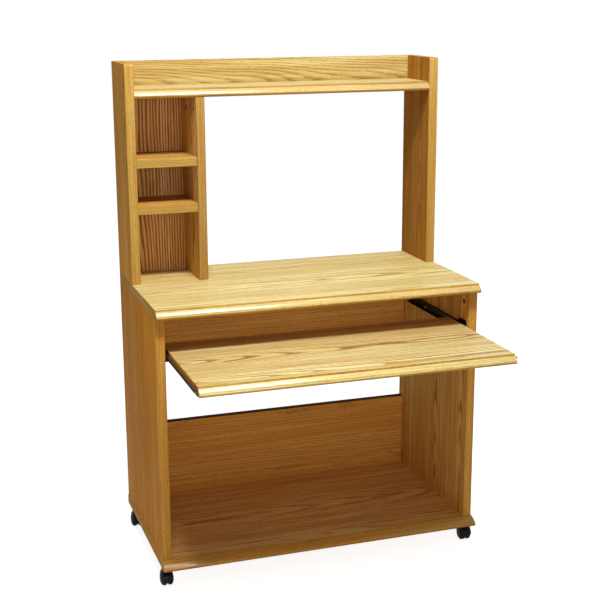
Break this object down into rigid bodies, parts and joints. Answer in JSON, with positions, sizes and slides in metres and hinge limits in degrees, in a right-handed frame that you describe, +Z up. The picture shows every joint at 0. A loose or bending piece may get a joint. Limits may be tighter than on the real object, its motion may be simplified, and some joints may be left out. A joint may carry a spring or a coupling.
{
  "type": "computer desk with keyboard tray",
  "caption": "Oak computer desk on casters with a pull-out keyboard tray on roller slides, an open lower bay, and a hutch with cubbies and a top shelf.",
  "frame": {"origin": "on the floor, in the middle of the overall footprint with the tray pulled out", "axes": "+Z up, +X to the user's right, +Y away from the user, towards the desk's back"},
  "size_m": [0.924, 0.79, 1.377],
  "materials": {
    "oak_veneer_panel": "satin lacquered oak veneer",
    "solid_oak_trim": "satin lacquered solid oak",
    "black_slide_steel": "black epoxy coat",
    "black_nylon": "moulded nylon",
    "zinc_steel": "zinc plate",
    "dark_cam_metal": "dark bronzed die casting",
    "beech_dowel": "raw beech",
    "caster_plastic": "moulded black plastic",
    "caster_tread": "moulded black plastic"
  },
  "bodies": {
    "cabinet": {"base_nosing": "solid_oak_trim", "base_panel": "oak_veneer_panel", "base_screws": "zinc_steel", "cam_bolts": "zinc_steel", "cam_locks": "dark_cam_metal", "caster_sockets": "zinc_steel", "channel_screws": "zinc_steel", "cubby_back": "oak_veneer_panel", "cubby_shelf_lippings": "solid_oak_trim", "desktop_nosing": "solid_oak_trim", "desktop_panel": "oak_veneer_panel", "divider": "oak_veneer_panel", "divider_lipping": "solid_oak_trim", "dowels": "beech_dowel", "front_roller_pins": "zinc_steel", "hutch_back_rail": "oak_veneer_panel", "hutch_left_side": "oak_veneer_panel", "hutch_right_side": "oak_veneer_panel", "hutch_shelf": "oak_veneer_panel", "hutch_shelf_nosing": "solid_oak_trim", "hutch_side_lippings": "solid_oak_trim", "left_channel": "black_slide_steel", "left_side": "oak_veneer_panel", "lower_back_panel": "oak_veneer_panel", "lower_cubby_shelf": "oak_veneer_panel", "modesty_panel": "oak_veneer_panel", "right_channel": "black_slide_steel", "right_side": "oak_veneer_panel", "side_lippings": "solid_oak_trim", "upper_cubby_shelf": "oak_veneer_panel"},
    "tray": {"tray_panel": "oak_veneer_panel", "tray_nosing": "solid_oak_trim", "left_runner": "black_slide_steel", "right_runner": "black_slide_steel", "rear_roller_pins": "zinc_steel", "runner_screws": "zinc_steel"},
    "left_front_roller_body": {"left_front_roller": "black_nylon"},
    "left_rear_roller_body": {"left_rear_roller": "black_nylon"},
    "right_front_roller_body": {"right_front_roller": "black_nylon"},
    "right_rear_roller_body": {"right_rear_roller": "black_nylon"},
    "caster_front_left_swivel": {"caster_front_left_hood": "caster_plastic", "caster_front_left_stem": "zinc_steel", "caster_front_left_axle": "zinc_steel"},
    "caster_front_left_left_wheel": {"caster_front_left_wheel_left": "caster_tread"},
    "caster_front_left_right_wheel": {"caster_front_left_wheel_right": "caster_tread"},
    "caster_front_right_swivel": {"caster_front_right_hood": "caster_plastic", "caster_front_right_stem": "zinc_steel", "caster_front_right_axle": "zinc_steel"},
    "caster_front_right_left_wheel": {"caster_front_right_wheel_left": "caster_tread"},
    "caster_front_right_right_wheel": {"caster_front_right_wheel_right": "caster_tread"},
    "caster_rear_left_swivel": {"caster_rear_left_hood": "caster_plastic", "caster_rear_left_stem": "zinc_steel", "caster_rear_left_axle": "zinc_steel"},
    "caster_rear_left_left_wheel": {"caster_rear_left_wheel_left": "caster_tread"},
    "caster_rear_left_right_wheel": {"caster_rear_left_wheel_right": "caster_tread"},
    "caster_rear_right_swivel": {"caster_rear_right_hood": "caster_plastic", "caster_rear_right_stem": "zinc_steel", "caster_rear_right_axle": "zinc_steel"},
    "caster_rear_right_left_wheel": {"caster_rear_right_wheel_left": "caster_tread"},
    "caster_rear_right_right_wheel": {"caster_rear_right_wheel_right": "caster_tread"}
  },
  "joints": [
    {"name": "tray_slide", "type": "slide", "parent": "cabinet", "child": "tray", "axis": [0, -1, 0], "range_m": [-0.285, 0.02]},
    {"name": "left_front_roller_spin", "type": "hinge", "parent": "cabinet", "child": "left_front_roller_body", "pos_m": [-0.4251, -0.055, 0.63715], "axis": [1, 0, 0], "range_deg": [-2821, 203]},
    {"name": "left_rear_roller_spin", "type": "hinge", "parent": "tray", "child": "left_rear_roller_body", "pos_m": [-0.4245, 0.001, 0.64235], "axis": [1, 0, 0], "range_deg": [-1490, 110]},
    {"name": "right_front_roller_spin", "type": "hinge", "parent": "cabinet", "child": "right_front_roller_body", "pos_m": [0.4251, -0.055, 0.63715], "axis": [1, 0, 0], "range_deg": [-2821, 203]},
    {"name": "right_rear_roller_spin", "type": "hinge", "parent": "tray", "child": "right_rear_roller_body", "pos_m": [0.4245, 0.001, 0.64235], "axis": [1, 0, 0], "range_deg": [-1490, 110]},
    {"name": "caster_front_left_swivel_turn", "type": "hinge", "parent": "cabinet", "child": "caster_front_left_swivel", "pos_m": [-0.4445, -0.049, 0.052], "axis": [0, 0, 1], "continuous": true},
    {"name": "caster_front_left_left_wheel_spin", "type": "hinge", "parent": "caster_front_left_swivel", "child": "caster_front_left_left_wheel", "pos_m": [-0.4548, -0.067, 0.02], "axis": [1, 0, 0], "continuous": true},
    {"name": "caster_front_left_right_wheel_spin", "type": "hinge", "parent": "caster_front_left_swivel", "child": "caster_front_left_right_wheel", "pos_m": [-0.4342, -0.067, 0.02], "axis": [1, 0, 0], "continuous": true},
    {"name": "caster_front_right_swivel_turn", "type": "hinge", "parent": "cabinet", "child": "caster_front_right_swivel", "pos_m": [0.4445, -0.049, 0.052], "axis": [0, 0, 1], "continuous": true},
    {"name": "caster_front_right_left_wheel_spin", "type": "hinge", "parent": "caster_front_right_swivel", "child": "caster_front_right_left_wheel", "pos_m": [0.4342, -0.067, 0.02], "axis": [1, 0, 0], "continuous": true},
    {"name": "caster_front_right_right_wheel_spin", "type": "hinge", "parent": "caster_front_right_swivel", "child": "caster_front_right_right_wheel", "pos_m": [0.4548, -0.067, 0.02], "axis": [1, 0, 0], "continuous": true},
    {"name": "caster_rear_left_swivel_turn", "type": "hinge", "parent": "cabinet", "child": "caster_rear_left_swivel", "pos_m": [-0.4445, 0.359, 0.052], "axis": [0, 0, 1], "continuous": true},
    {"name": "caster_rear_left_left_wheel_spin", "type": "hinge", "parent": "caster_rear_left_swivel", "child": "caster_rear_left_left_wheel", "pos_m": [-0.4548, 0.341, 0.02], "axis": [1, 0, 0], "continuous": true},
    {"name": "caster_rear_left_right_wheel_spin", "type": "hinge", "parent": "caster_rear_left_swivel", "child": "caster_rear_left_right_wheel", "pos_m": [-0.4342, 0.341, 0.02], "axis": [1, 0, 0], "continuous": true},
    {"name": "caster_rear_right_swivel_turn", "type": "hinge", "parent": "cabinet", "child": "caster_rear_right_swivel", "pos_m": [0.4445, 0.359, 0.052], "axis": [0, 0, 1], "continuous": true},
    {"name": "caster_rear_right_left_wheel_spin", "type": "hinge", "parent": "caster_rear_right_swivel", "child": "caster_rear_right_left_wheel", "pos_m": [0.4342, 0.341, 0.02], "axis": [1, 0, 0], "continuous": true},
    {"name": "caster_rear_right_right_wheel_spin", "type": "hinge", "parent": "caster_rear_right_swivel", "child": "caster_rear_right_right_wheel", "pos_m": [0.4548, 0.341, 0.02], "axis": [1, 0, 0], "continuous": true}
  ],
  "couplings": [
    {"joint": "left_front_roller_spin", "follows": "tray_slide", "rad_per_m": 172.41},
    {"joint": "left_rear_roller_spin", "follows": "tray_slide", "rad_per_m": 90.909},
    {"joint": "right_front_roller_spin", "follows": "tray_slide", "rad_per_m": 172.41},
    {"joint": "right_rear_roller_spin", "follows": "tray_slide", "rad_per_m": 90.909}
  ]
}
